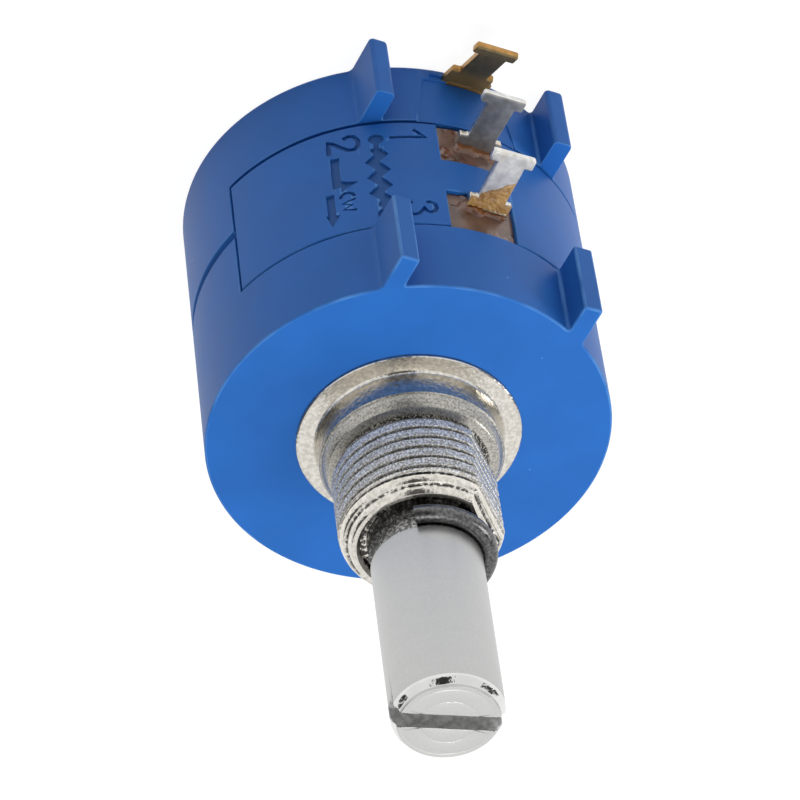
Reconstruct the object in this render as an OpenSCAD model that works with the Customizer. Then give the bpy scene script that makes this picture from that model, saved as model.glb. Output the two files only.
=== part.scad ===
// Ten-turn wirewound potentiometer for panel mounting.
// The origin is the centre of the housing's front face. +Z runs along the shaft to its
// slotted end, and the three solder lugs point along +X. The shaft is drawn at its
// counter-clockwise stop, with the wiper at the rear end of the resistance element.

/* [Housing] */
// Outside diameter of the two moulded cups
body_d = 22.22; // [20:0.02:30]
// Length from the front face to the rear face
body_len = 18.1; // [17.8:0.1:26]
// Thickness of the cups' round walls
wall = 1.2; // [0.8:0.1:1.5]
// Thickness of the front cup's face
face_t = 1.5; // [1.2:0.1:1.8]
// Thickness of the rear cup's floor
floor_t = 1.4; // [1.3:0.1:2.5]
// Depth below the front face at which the cups meet
seam_depth = 9.5; // [7:0.1:11]
// Width of the open joint between the two cups
seam_gap = 0.3; // [0.1:0.05:0.5]
// Thickness of the rear cup's spigot, which enters the front cup
spigot_t = 0.55; // [0.3:0.05:0.7]
// Length of the spigot beyond the joint
spigot_len = 0.9; // [0.5:0.1:2]
// Rounding of the cups' outer edges
edge_r = 0.2; // [0.05:0.05:0.4]

/* [Terminal plate] */
// Depth of the plate's front edge below the front face
plate_depth = 4.9; // [3:0.1:6]
// Length of the plate along the shaft
plate_len = 8.6; // [7.5:0.1:11]
// Gap round the plate's front edge and its two ends
plate_gap = 0.08; // [0.05:0.01:0.3]
// Gap behind the plate's rear edge
plate_rear_gap = 0.18; // [0.05:0.01:0.3]
// Angle from the lugs to each end of the plate
plate_half_angle = 76; // [45:1:85]
// Width of the two lug windows
window_w = 4; // [3:0.1:6]
// Length of each lug window, from the plate's edge
window_len = 2.9; // [2:0.1:3.4]
// How far the brown carrier lies below the plate's surface in the windows
window_recess = 0.25; // [0.1:0.05:0.6]

/* [Ribs] */
// Thickness of a rib
rib_t = 1.1; // [0.6:0.05:2]
// Distance from the lugs' centre line to a rib's inner flank
rib_offset = 4.85; // [3:0.05:6]
// Height of a rib's flat land above the housing's radius
rib_rise = 0.82; // [0.3:0.02:2]
// Rounding of a rib's outer edges
rib_round = 0.3; // [0.05:0.05:0.5]
// Fillet between a rib and the housing
rib_fillet = 0.4; // [0.1:0.05:1]

/* [Solder lugs] */
// Thickness of the lugs' sheet
lug_t = 0.45; // [0.3:0.05:0.6]
// Height of lugs 1 and 3 above the housing
lug_rise = 3.7; // [2:0.1:8]
// Width of a lug's head and shoulders
lug_w = 2.5; // [1.6:0.05:3]
// Width of a lug's neck
neck_w = 1.65; // [0.8:0.05:1.8]
// Length of a lug's head
head_len = 0.7; // [0.4:0.05:2]
// Height of their shoulders above the housing
shoulder_rise = 0.55; // [0.3:0.05:1.5]
// Distance of lug 3 behind the plate's front edge
lug3_setback = 2.3; // [1:0.1:2.4]
// Distance of lug 1 ahead of the plate's rear edge
lug1_setback = 1.2; // [0.8:0.1:2.3]
// Distance of lugs 1 and 3 from the centre line, towards -Y
lug_shift = 0.3; // [0:0.05:0.4]
// Distance of lug 2 ahead of the rear face
lug2_setback = 0.75; // [0.6:0.05:1]
// How much longer lug 2 is, below its shoulders
lug2_extra = 0.9; // [0:0.1:1.5]
// Lean of lug 2 towards the shaft's end
lug2_lean = 24; // [0:1:26]
// Lean of lug 3 away from the shaft's end
lug3_lean = 5; // [0:1:10]

/* [Bushing] */
// Major diameter of the mounting thread
thread_d = 9; // [8.8:0.1:10.8]
// Distance from the front face to the bushing's nose
bushing_len = 8.2; // [7:0.1:14]
// Plain length between the front face and the thread
neck_len = 3.1; // [2.6:0.1:5]
// Depth of the milled flat below the thread's crests
flat_depth = 0.54; // [0:0.02:0.8]
// Direction of the milled flat, counted from the lugs
flat_angle = -45; // [-180:5:180]
// Step from the thread's crests out to the seat
seat_step = 0.6; // [0.5:0.05:1.5]
// Step from the seat out to the rim of the thin flange
flange_step = 1.05; // [0.6:0.05:3]
// Height of the thin flange above the front face
flange_t = 0.16; // [0.1:0.02:0.6]
// Depth that the flange is let into the front face
flange_let = 0.08; // [0.04:0.02:0.3]
// Distance from the front face to the top of the seat
seat_h = 1.78; // [0.6:0.02:2]

/* [Shaft] */
// Shaft diameter
shaft_d = 6; // [5:0.05:6.4]
// Distance from the front face to the shaft's end
shaft_reach = 21; // [12:0.1:40]
// Radial clearance of the shaft in its bearings
running_gap = 0.03; // [0.01:0.01:0.08]
// Chamfer at the shaft's end
shaft_chamfer = 0.4; // [0.1:0.05:0.8]
// Width of the screwdriver slot
slot_w = 1; // [0.6:0.1:1.6]
// Depth of the screwdriver slot
slot_depth = 1.3; // [0.6:0.1:3]
// Direction of the slot at the stop, counted from the lugs
slot_angle = -75; // [-90:5:90]
// Distance from the front face to the middle of the retaining ring
ring_z = 9.2; // [9:0.1:12]
// Diameter of the retaining ring's wire
ring_wire_d = 1; // [0.5:0.05:1.1]
// Depth of the ring's groove in the shaft
ring_groove = 0.18; // [0.16:0.01:0.3]
// Arc that the retaining ring covers
ring_arc = 240; // [200:5:340]
// Direction of the ring's first end, counted from the lugs
ring_start = -196; // [-360:1:360]

/* [Resistance element] */
// Number of turns of the shaft and of the element
turns = 10; // [3:1:10]
// Rise of the element in each turn
turn_pitch = 1.2; // [0.9:0.05:1.2]
// Diameter of the wound element
element_d = 0.8; // [0.4:0.05:0.8]
// Thickness of the carrier that holds the element
carrier_t = 1.15; // [1:0.05:1.5]

/* [Rotor and wiper] */
// Wall of the rotor round the shaft
hub_t = 1.4; // [1:0.1:1.6]
// Height of the rotor's two guide rails above its hub
rail_h = 1.6; // [1:0.1:1.8]
// Thickness of a guide rail
rail_t = 0.7; // [0.4:0.05:1]
// Width of the slot between the rails
rail_gap = 2.4; // [2:0.1:3]
// Play of the sliding and turning pieces inside the housing
play = 0.1; // [0.05:0.01:0.15]
// Length of the wiper carriage along the shaft
carriage_len = 1.4; // [1.36:0.02:1.5]

/* [Hidden] */
$fn = 96;

// Housing
body_r = body_d / 2;
cavity_r = body_r - wall;
seat_gap = 0.05;                        // between pieces that are seated in each other
eps = 0.01;
face_z = -face_t;                       // inner side of the front cup's face
floor_z = floor_t - body_len;           // inner side of the rear cup's floor
plate_z0 = -plate_depth;                // front edge of the opening for the plate
plate_z1 = -plate_depth - plate_len;    // rear edge of that opening
front_rim_z = seam_gap / 2 - seam_depth;
rear_rim_z = -seam_gap / 2 - seam_depth;
spigot_r = cavity_r + spigot_t;
spigot_z1 = front_rim_z + spigot_len;
pocket_t = 0.1;                         // depth of the shallow field round lug 2

// Lugs
lug_wide = lug_w + 2 * seat_gap;        // width of the slots that hold them
lug1_z = plate_z1 + lug1_setback;
lug2_z = lug2_setback - body_len;
lug3_z = plate_z0 - lug3_setback;
neck_fillet = 0.12;

// Carrier and element
carrier_r = cavity_r - seat_gap;
carrier_bore_r = carrier_r - carrier_t;
carrier_z0 = face_z - seat_gap;
carrier_z1 = floor_z + seat_gap;
element_r = carrier_bore_r - seat_gap - element_d / 2;
element_rise = turns * turn_pitch;
element_z0 = (face_z + floor_z - element_rise) / 2;     // rear end, at lug 1
element_z1 = element_z0 + element_rise;                 // front end, at lug 3
element_over = 8;                       // degrees that the element runs past the wiper's travel
element_steps = 24;                     // stations in each turn of the element
element_sides = 6;
foot_t = 0.4;                           // lug feet that run inside the carrier
foot_x = carrier_r - 0.85;
foot_w = neck_w;
clip_w = 1;
clip_len = 0.7;

// Bushing and shaft
thread_r = thread_d / 2;
seat_r = thread_r + seat_step;
flange_r = seat_r + flange_step;
relief_r = thread_r - 0.4;              // groove between the seat and the thread
relief_z0 = seat_h + 0.7;
relief_z1 = neck_len - 0.25;
nose_r = thread_r - 0.45;
nose_h = 1.2;
shaft_r = shaft_d / 2;
bore_r = shaft_r + running_gap;
ring_seat_r = shaft_r + 0.4;            // counterbore in the nose
ring_seat_h = 0.5;
ring_r = shaft_r - ring_groove + 0.03 + ring_wire_d / 2;
journal_r = 1.5;
journal_end = floor_z - 0.9;
bushing_tail = 0.5;                     // staked length inside the front cup
washer_t = 0.3;
washer_r = thread_r + 1.6;
thrust_z = face_z - bushing_tail;       // rear end of the bushing

// Rotor
hub_r = shaft_r + hub_t;
hub_z0 = thrust_z - running_gap - washer_t;
hub_z1 = floor_z + 0.7;
collector_t = 0.15;
slip_ring_t = 0.2;
rail_y = rail_gap / 2;
rail_top = hub_r + rail_h;
rivet_x = hub_r + 2.8;                  // rivet of the brush on lug 2's blade

// Wiper
wiper_z = element_z0;
wire_in_r = (element_r - element_d / 2) * cos(180 / element_steps);
finger_t = 0.16;
carriage_top = rail_top + 1.2;
brush_t = 0.15;

// ---------- helpers ----------

// A tube from z0 up to z1.
module tube(r_out, r_in, z0, z1) {
    difference() {
        translate([0, 0, z0]) cylinder(r = r_out, h = z1 - z0);
        translate([0, 0, z0 - eps]) cylinder(r = r_in, h = z1 - z0 + 2 * eps);
    }
}

// A box from one corner to the other.
module block(low, high) {
    translate(low) cube(high - low);
}

// A sector that reaches out past r, half_angle to each side of +X, from z0 up to z1.
module sector(r, half_angle, z0, z1) {
    reach = r / cos(half_angle / 2);
    translate([0, 0, z0]) linear_extrude(z1 - z0)
        polygon([[0, 0], for (i = [-2 : 2]) reach * [cos(i * half_angle / 2), sin(i * half_angle / 2)]]);
}

// Half section of a cup: a wall that ends at rim_z, and an end plate whose outer face is at
// end_z, with its outer edge rounded.
module cup_section(end_z, plate_t, rim_z) {
    s = sign(rim_z - end_z);
    round_z = end_z + s * edge_r;
    union() {
        polygon([[0, end_z], [body_r - edge_r, end_z], [body_r - edge_r, round_z], [body_r, round_z],
                 [body_r, rim_z], [cavity_r, rim_z], [cavity_r, end_z + s * plate_t], [0, end_z + s * plate_t]]);
        intersection() {
            translate([body_r - edge_r, round_z]) circle(r = edge_r);
            translate([body_r - edge_r, min(end_z, round_z)]) square(edge_r);
        }
    }
}

// ---------- ribs ----------

// Fillet in the corner between a flank at y and the round wall, on the side given by dir.
module rib_root(y, dir) {
    cy = y + dir * rib_fillet;
    cx = sqrt(pow(body_r + rib_fillet, 2) - cy * cy);
    foot = [cx, cy] * body_r / (body_r + rib_fillet);
    difference() {
        polygon([[cx, y], foot, foot - [0.3, 0], [foot[0] - 0.3, y]]);
        translate([cx, cy]) circle(r = rib_fillet);
    }
}

// Section of one rib, square to the shaft, with its rounded land and its fillets.
module rib_section() {
    y0 = rib_offset;
    y1 = rib_offset + rib_t;
    land = body_r + rib_rise;
    root = sqrt(pow(body_r - wall / 2, 2) - y1 * y1);
    union() {
        translate([root, y0]) square([land - rib_round - root, rib_t]);
        translate([land - rib_round - eps, y0 + rib_round]) square([rib_round + eps, rib_t - 2 * rib_round]);
        translate([land - rib_round, y0 + rib_round]) circle(r = rib_round);
        translate([land - rib_round, y1 - rib_round]) circle(r = rib_round);
        rib_root(y0, -1);
        rib_root(y1, 1);
    }
}

// The pair of ribs on either side of the lugs, from z0 up to z1.
module ribs(z0, z1) {
    translate([0, 0, z0]) linear_extrude(z1 - z0)
        for (side = [0, 1]) mirror([0, side, 0]) rib_section();
}

// ---------- mouldings ----------

module front_housing() {
    color("royalblue") difference() {
        union() {
            rotate_extrude() cup_section(0, face_t, front_rim_z);
            ribs(plate_z0, 0);
        }
        sector(body_r + 1, plate_half_angle, -body_len, plate_z0);
        translate([0, 0, rear_rim_z]) cylinder(r = spigot_r + seat_gap, h = spigot_z1 + seat_gap - rear_rim_z);
        translate([0, 0, face_z - 1]) cylinder(r = seat_r + seat_gap, h = face_t + 2);
        translate([0, 0, -flange_let]) cylinder(r = flange_r + seat_gap, h = 1);
    }
}

module rear_housing() {
    pocket_z0 = lug2_z + 0.2;
    color("royalblue") difference() {
        union() {
            rotate_extrude() cup_section(-body_len, floor_t, rear_rim_z);
            tube(spigot_r, cavity_r, rear_rim_z - eps, spigot_z1);
            ribs(-body_len, plate_z1);
        }
        sector(body_r + 1, plate_half_angle, plate_z1, 0);
        // shallow tapering field between lug 2 and the plate
        intersection() {
            tube(body_r + 1, body_r - pocket_t, pocket_z0, plate_z1 + 1);
            rotate([90, 0, 90]) linear_extrude(body_r + 1)
                polygon([[-2.35, pocket_z0], [2.35, pocket_z0], [3, plate_z1 + eps], [-3, plate_z1 + eps]]);
        }
        // slot that lug 2 leaves by, and its seat in the floor
        block([cavity_r - 1, -lug_wide / 2, lug2_z - lug_t / 2 - seat_gap],
              [body_r + 1, lug_wide / 2, lug2_z + lug_t / 2 + seat_gap]);
        block([journal_r + 2.3, -lug_wide / 2, lug2_z - lug_t / 2 - seat_gap],
              [cavity_r - seat_gap, lug_wide / 2, floor_z + eps]);
        translate([0, 0, journal_end - 0.2]) cylinder(r = journal_r + 1.15, h = 5);
    }
}

module terminal_plate() {
    z0 = plate_z1 + plate_rear_gap;
    z1 = plate_z0 - plate_gap;
    half_angle = plate_half_angle - plate_gap / body_r * 180 / PI;
    color("royalblue") difference() {
        intersection() {
            tube(body_r, cavity_r, z0, z1);
            sector(body_r + 1, half_angle, z0, z1);
        }
        for (span = [[z0 - 1, z0 + window_len], [z1 - window_len, z1 + 1]])
            block([0, -window_w / 2, span[0]], [body_r + 1, window_w / 2, span[1]]);
    }
}

// Brown moulding inside the cups. It holds the element, and fills the two windows.
module element_carrier() {
    pad_y = window_w / 2 - seat_gap;
    pads = [[plate_z1 + plate_rear_gap, plate_z1 + plate_rear_gap + window_len - seat_gap],
            [plate_z0 - plate_gap - window_len + seat_gap, plate_z0 - plate_gap]];
    color("saddlebrown") difference() {
        union() {
            tube(carrier_r, carrier_bore_r, carrier_z1, carrier_z0);
            for (span = pads) intersection() {
                tube(body_r - window_recess, carrier_bore_r, span[0], span[1]);
                block([0, -pad_y, span[0]], [body_r, pad_y, span[1]]);
            }
        }
        translate([0, -lug_shift, 0]) {
            for (z = [lug1_z, lug3_z])
                block([foot_x - seat_gap, -lug_wide / 2, z - lug_t / 2 - seat_gap],
                      [body_r, lug_wide / 2, z + lug_t / 2 + seat_gap]);
            for (run = [[element_z0, lug1_z], [lug3_z, element_z1]])
                block([foot_x - seat_gap, -foot_w / 2 - seat_gap, run[0] - clip_len / 2 - seat_gap],
                      [foot_x + foot_t + seat_gap, foot_w / 2 + seat_gap, run[1] + clip_len / 2 + seat_gap]);
            for (z = [element_z0, element_z1])
                block([carrier_bore_r - 1, -clip_w / 2 - seat_gap, z - clip_len / 2 - seat_gap],
                      [foot_x, clip_w / 2 + seat_gap, z + clip_len / 2 + seat_gap]);
        }
    }
}

// ---------- solder lugs ----------

// Outline of a lug from x0 out to its head: wide blade, shoulders, neck and hammer head.
module lug_outline(x0, extra) {
    tip = body_r + lug_rise + extra;
    shoulder = body_r + shoulder_rise + extra;
    union() {
        translate([x0, -lug_w / 2]) square([shoulder - x0, lug_w]);
        translate([x0, -neck_w / 2]) square([tip - x0, neck_w]);
        translate([tip - head_len, -lug_w / 2]) square([head_len, lug_w]);
        for (side = [-1, 1]) difference() {
            translate([shoulder - eps, side * (neck_w + neck_fillet) / 2 - neck_fillet / 2])
                square([neck_fillet + eps, neck_fillet]);
            translate([shoulder + neck_fillet, side * (neck_w / 2 + neck_fillet)]) circle(r = neck_fillet);
        }
    }
}

// A blade from x0 out through the housing, and a lug that leans forward by the angle given.
module leaning_lug(x0, z, lean, extra) {
    bend_x = body_r + 0.1;
    union() {
        block([x0, -lug_w / 2, z - lug_t / 2], [bend_x, lug_w / 2, z + lug_t / 2]);
        translate([bend_x, 0, z]) rotate([0, -lean, 0]) translate([-bend_x, 0, -lug_t / 2])
            linear_extrude(lug_t) lug_outline(bend_x - 0.2, extra);
    }
}

// Lug 1 or 3, with the foot that runs inside the carrier to the element's end.
module side_terminal(z, end_z, lean) {
    s = sign(end_z - z);
    translate([0, -lug_shift, 0]) union() {
        leaning_lug(foot_x, z, lean, 0);
        block([foot_x, -foot_w / 2, min(z - s * lug_t / 2, end_z + s * clip_len / 2)],
              [foot_x + foot_t, foot_w / 2, max(z - s * lug_t / 2, end_z + s * clip_len / 2)]);
    }
}

module terminal_1() {
    color("silver") side_terminal(lug1_z, element_z0, 0);
}

module terminal_3() {
    color("silver") side_terminal(lug3_z, element_z1, -lug3_lean);
}

// Lug 2 leans forward above the housing. Its blade runs along the floor to the brush.
module terminal_2() {
    color("darkgoldenrod") leaning_lug(journal_r + 2.4, lug2_z, lug2_lean, lug2_extra);
}

// Metal tab that joins one end of the element to a lug's foot.
module end_clip(z) {
    color("silver") translate([0, -lug_shift, 0])
        block([element_r + element_d / 2 + seat_gap / 2, -clip_w / 2, z - clip_len / 2],
              [foot_x - seat_gap / 2, clip_w / 2, z + clip_len / 2]);
}

module end_clip_1() {
    end_clip(element_z0);
}

module end_clip_3() {
    end_clip(element_z1);
}

// ---------- bushing and its washer ----------

module bushing() {
    top = bushing_len;
    color("lightgray") difference() {
        rotate_extrude() polygon([
            [bore_r, thrust_z], [thread_r + 0.3, thrust_z], [thread_r + 0.3, face_z], [seat_r, face_z],
            [seat_r, -flange_let], [flange_r, -flange_let], [flange_r, flange_t],
            [seat_r + 0.5, flange_t], [seat_r, flange_t + 0.24], [seat_r - 0.06, seat_h],
            [thread_r + 0.38, seat_h], [thread_r + 0.16, relief_z0 - 0.13], [relief_r, relief_z0],
            [relief_r, relief_z1], [thread_r - 0.1, neck_len], [thread_r, neck_len + 0.1],
            [thread_r, top - nose_h], [nose_r, top], [ring_seat_r, top],
            [ring_seat_r, top - ring_seat_h], [bore_r, top - ring_seat_h]]);
        rotate(flat_angle)
            block([thread_r - flat_depth, -thread_r, (relief_z0 + relief_z1) / 2],
                  [thread_r + 1, thread_r, top + 1]);
    }
}

// Pressed washer that holds the bushing in the front cup, with teeth that bite the face.
module lock_washer() {
    teeth = 12;
    z1 = face_z - seat_gap / 2;
    color("gray") difference() {
        tube(washer_r, thread_r + 0.3 + seat_gap, z1 - washer_t, z1);
        for (i = [0 : teeth - 1]) rotate((i + 0.5) * 360 / teeth)
            block([washer_r - 0.5, -0.3, z1 - 1], [washer_r + 1, 0.3, z1 + 1]);
    }
}

// ---------- element ----------

// Points round the wound element at station i. The coil climbs to the front as it goes
// round clockwise, seen from the shaft's end.
function element_ring(i) =
    let (turn = -element_over + i * 360 / element_steps)
    [for (j = [0 : element_sides - 1])
        let (a = (j + 0.5) * 360 / element_sides, r = element_r + element_d / 2 * cos(a))
        [r * cos(-turn), r * sin(-turn), element_z0 + turn_pitch * turn / 360 + element_d / 2 * sin(a)]];

module resistance_element() {
    n = element_sides;
    count = ceil((turns * 360 + 2 * element_over) * element_steps / 360);
    points = [for (i = [0 : count]) each element_ring(i)];
    sides = [for (i = [0 : count - 1], j = [0 : n - 1])
        let (k = (j + 1) % n)
        each [[i * n + j, (i + 1) * n + k, (i + 1) * n + j], [i * n + j, i * n + k, (i + 1) * n + k]]];
    first = [for (j = [0 : n - 1]) n - 1 - j];
    last = [for (j = [0 : n - 1]) count * n + j];
    color("peru") polyhedron(points, concat(sides, [first, last]));
}

// ---------- rear bearing and collector contact ----------

module rear_bearing() {
    color("goldenrod") tube(journal_r + 1.1, journal_r + running_gap, journal_end - 0.15, floor_z + 0.2);
}

// Spring strip on lug 2's blade. Its free end presses on the rotor's slip ring.
module slip_ring_brush() {
    base_z = lug2_z + lug_t / 2;
    touch_z = hub_z1 - slip_ring_t - running_gap;
    x0 = hub_r - 0.5;
    x1 = rivet_x + 0.8;
    color("khaki") rotate([90, 0, 0]) translate([0, 0, -0.8]) linear_extrude(1.6) polygon([
        [x1, base_z], [x1, base_z + brush_t], [x1 - 1.7, base_z + brush_t], [x0 + 0.8, touch_z],
        [x0 + 0.2, touch_z], [x0, touch_z - brush_t], [x0 + 0.7, touch_z - brush_t], [x1 - 1.9, base_z]]);
}

module brush_rivet() {
    base_z = lug2_z + lug_t / 2 + brush_t;
    color("gold") translate([rivet_x, 0, base_z]) cylinder(r1 = 0.6, r2 = 0.4, h = 0.2);
}

// ---------- shaft group ----------

module shaft() {
    color("lightgray") difference() {
        rotate_extrude() polygon([
            [0, journal_end], [journal_r - 0.1, journal_end], [journal_r, journal_end + 0.1],
            [journal_r, floor_z + 0.4], [shaft_r, floor_z + 0.4],
            [shaft_r, ring_z - ring_wire_d / 2], [shaft_r - ring_groove, ring_z - ring_wire_d / 2],
            [shaft_r - ring_groove, ring_z + ring_wire_d / 2], [shaft_r, ring_z + ring_wire_d / 2],
            [shaft_r, shaft_reach - shaft_chamfer], [shaft_r - shaft_chamfer, shaft_reach], [0, shaft_reach]]);
        rotate(slot_angle)
            block([-shaft_r - 1, -slot_w / 2, shaft_reach - slot_depth], [shaft_r + 1, slot_w / 2, shaft_reach + 1]);
    }
}

// Open wire ring that keeps the shaft from sliding in. It turns with the shaft.
module retaining_ring() {
    color("dimgray") translate([0, 0, ring_z]) rotate(ring_start)
        rotate_extrude(angle = ring_arc) translate([ring_r, 0]) circle(d = ring_wire_d);
}

module thrust_washer() {
    color("silver") tube(hub_r, shaft_r + running_gap, hub_z0, hub_z0 + washer_t);
}

// Moulded drum on the shaft. Its two rails carry the wiper from end to end.
module rotor() {
    color("ivory") difference() {
        union() {
            translate([0, 0, hub_z1]) cylinder(r = hub_r, h = hub_z0 - hub_z1);
            for (side = [0, 1]) mirror([0, side, 0])
                block([hub_r - 1, rail_y, hub_z1], [rail_top, rail_y + rail_t, hub_z0]);
        }
        translate([0, 0, hub_z1 - 1]) cylinder(r = shaft_r + seat_gap / 2, h = hub_z0 - hub_z1 + 2);
        block([hub_r - collector_t, -0.65, hub_z1 - 1], [hub_r + 1, 0.65, hub_z0 + 1]);
    }
}

// Brass strip between the rails, which takes the wiper's current to the slip ring.
module collector_rail() {
    color("gold") block([hub_r - collector_t, -0.6, hub_z1], [hub_r, 0.6, hub_z0]);
}

module slip_ring() {
    color("gold") tube(hub_r, shaft_r + 0.4, hub_z1 - slip_ring_t, hub_z1);
}

// ---------- wiper group ----------

// Block that slides between the rails. Its fingers straddle one turn of the element, so
// the element moves it along as the shaft turns.
module wiper_carriage() {
    z0 = wiper_z - carriage_len / 2;
    z1 = wiper_z + carriage_len / 2;
    color("whitesmoke") union() {
        block([hub_r + 0.35, play - rail_y, z0], [rail_top + play + eps, rail_y - play, z1]);
        block([rail_top + play, -rail_y - rail_t, z0], [carriage_top, rail_y + rail_t, z1]);
        for (side = [-1, 1])
            translate([carriage_top - eps, -0.5, wiper_z + side * turn_pitch / 2 - finger_t / 2])
                cube([element_r - carriage_top, 1, finger_t]);
    }
}

// Leaf spring with the bar that wipes the element.
module wiper_contact() {
    color("gold") union() {
        block([carriage_top, -1.6, wiper_z - 0.35], [carriage_top + 0.1, 1.6, wiper_z + 0.35]);
        block([carriage_top, -0.25, wiper_z - 0.35], [wire_in_r - play, 0.25, wiper_z + 0.35]);
    }
}

// Spring under the carriage that slides on the collector rail.
module collector_brush() {
    color("gold") rotate([90, 0, 0]) translate([0, 0, -0.4]) linear_extrude(0.8) polygon([
        [hub_r + 0.35, wiper_z - 0.6], [hub_r + 0.05, wiper_z - 0.15], [hub_r + 0.05, wiper_z + 0.15],
        [hub_r + 0.35, wiper_z + 0.6]]);
}

// ---------- the pieces, one by one ----------

front_housing();
rear_housing();
terminal_plate();
element_carrier();
bushing();
lock_washer();
terminal_1();
terminal_2();
terminal_3();
end_clip_1();
end_clip_3();
resistance_element();
rear_bearing();
slip_ring_brush();
brush_rivet();
shaft();
retaining_ring();
thrust_washer();
rotor();
collector_rail();
slip_ring();
wiper_carriage();
wiper_contact();
collector_brush();
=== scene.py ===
"""Ten-turn wirewound potentiometer: the looks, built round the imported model."""
import math

import bmesh
import bpy
from mathutils import Matrix, Quaternion, Vector, noise


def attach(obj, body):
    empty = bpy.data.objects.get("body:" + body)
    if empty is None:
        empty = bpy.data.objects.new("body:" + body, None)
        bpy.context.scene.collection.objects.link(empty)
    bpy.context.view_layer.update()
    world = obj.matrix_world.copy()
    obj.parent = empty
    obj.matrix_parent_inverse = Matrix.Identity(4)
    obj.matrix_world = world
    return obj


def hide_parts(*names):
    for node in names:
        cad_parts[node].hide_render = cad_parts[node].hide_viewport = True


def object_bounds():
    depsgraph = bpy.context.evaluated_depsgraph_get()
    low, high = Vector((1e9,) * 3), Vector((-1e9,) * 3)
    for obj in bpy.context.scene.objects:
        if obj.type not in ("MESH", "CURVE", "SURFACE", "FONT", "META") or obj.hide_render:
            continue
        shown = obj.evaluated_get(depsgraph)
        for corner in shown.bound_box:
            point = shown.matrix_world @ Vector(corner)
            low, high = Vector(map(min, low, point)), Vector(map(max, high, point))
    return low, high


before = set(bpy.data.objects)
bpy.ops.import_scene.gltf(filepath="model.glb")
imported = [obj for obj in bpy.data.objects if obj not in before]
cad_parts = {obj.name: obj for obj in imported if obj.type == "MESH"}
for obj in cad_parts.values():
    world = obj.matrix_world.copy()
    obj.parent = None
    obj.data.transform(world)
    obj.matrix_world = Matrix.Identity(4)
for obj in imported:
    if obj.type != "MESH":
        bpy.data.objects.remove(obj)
cad_box = [list(corner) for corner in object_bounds()]

# ---------------------------------------------------------------------------
# Studio. The part stands on its rear face on a white table, under three square
# lamps. The walls are white, with four dark screens for the metal to mirror.
# ---------------------------------------------------------------------------
MM = 0.001
scene = bpy.context.scene
scene.view_settings.view_transform = "Standard"

camera = bpy.data.objects.new("camera", bpy.data.cameras.new("camera"))
scene.collection.objects.link(camera)
scene.camera = camera
camera.data.lens = 223.4
camera.data.clip_start = 0.01
camera.data.clip_end = 10
camera_dir = Vector((-0.59929, -0.35359, -0.71821))
camera_roll = math.radians(172.02)
camera.location = (0.16254, 0.096134, 0.191927)
camera.rotation_mode = "QUATERNION"
camera.rotation_quaternion = (
    camera_dir.to_track_quat("-Z", "Y") @ Quaternion((0, 0, 1), camera_roll))

table_gap = 0.02 * MM                    # keeps the table top clear of the rear face
table = bmesh.new()
bmesh.ops.create_grid(table, x_segments=1, y_segments=1, size=1.5)
bmesh.ops.translate(table, verts=table.verts, vec=(0, 0, cad_box[0][2] - table_gap))
table_mesh = bpy.data.meshes.new("table")
table.to_mesh(table_mesh)
table.free()
table_top = bpy.data.objects.new("table", table_mesh)
scene.collection.objects.link(table_top)


def add_node(tree, kind, values=None, **settings):
    """A new shader node with its settings, then the values of its sockets."""
    made = tree.nodes.new(kind)
    for setting, value in settings.items():
        setattr(made, setting, value)
    for socket, value in (values or {}).items():
        made.inputs[socket].default_value = value
    return made


def join(tree, *pairs):
    """Links each output socket to the input socket that is given with it."""
    for start, end in pairs:
        tree.links.new(start, end)


def view_rays(tree):
    """Two sockets: 1 where the camera looks straight, and 1 where it looks by gloss or glass."""
    ray = add_node(tree, "ShaderNodeLightPath")
    through = add_node(tree, "ShaderNodeMath", operation="MAXIMUM")
    join(tree,
         (ray.outputs["Is Glossy Ray"], through.inputs[0]),
         (ray.outputs["Is Transmission Ray"], through.inputs[1]))
    return ray.outputs["Is Camera Ray"], through.outputs[0]


table_paint = bpy.data.materials.new("table_white")
table_paint.use_nodes = True
tree = table_paint.node_tree
tree.nodes.clear()
out = add_node(tree, "ShaderNodeOutputMaterial")
paint = add_node(tree, "ShaderNodeBsdfDiffuse", {"Color": (0.9, 0.9, 0.9, 1)})
glow = add_node(tree, "ShaderNodeEmission", {"Strength": 1.1})
either = add_node(tree, "ShaderNodeMath", operation="MAXIMUM")
share = add_node(tree, "ShaderNodeMath", {1: 0.85}, operation="MULTIPLY")
mix = add_node(tree, "ShaderNodeMixShader")
straight, by_gloss = view_rays(tree)
join(tree,
     (straight, either.inputs[0]),
     (by_gloss, either.inputs[1]),
     (either.outputs[0], share.inputs[0]),
     (share.outputs[0], mix.inputs["Fac"]),
     (paint.outputs[0], mix.inputs[1]),
     (glow.outputs[0], mix.inputs[2]),
     (mix.outputs[0], out.inputs["Surface"]))
table_mesh.materials.append(table_paint)

wall_level = 0.95                        # what gloss shows of the white walls
screen_level = 0.04                      # and of the dark screens
room_level = 0.27                        # the walls' light on everything else
screen_blur = 0.03
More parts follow.
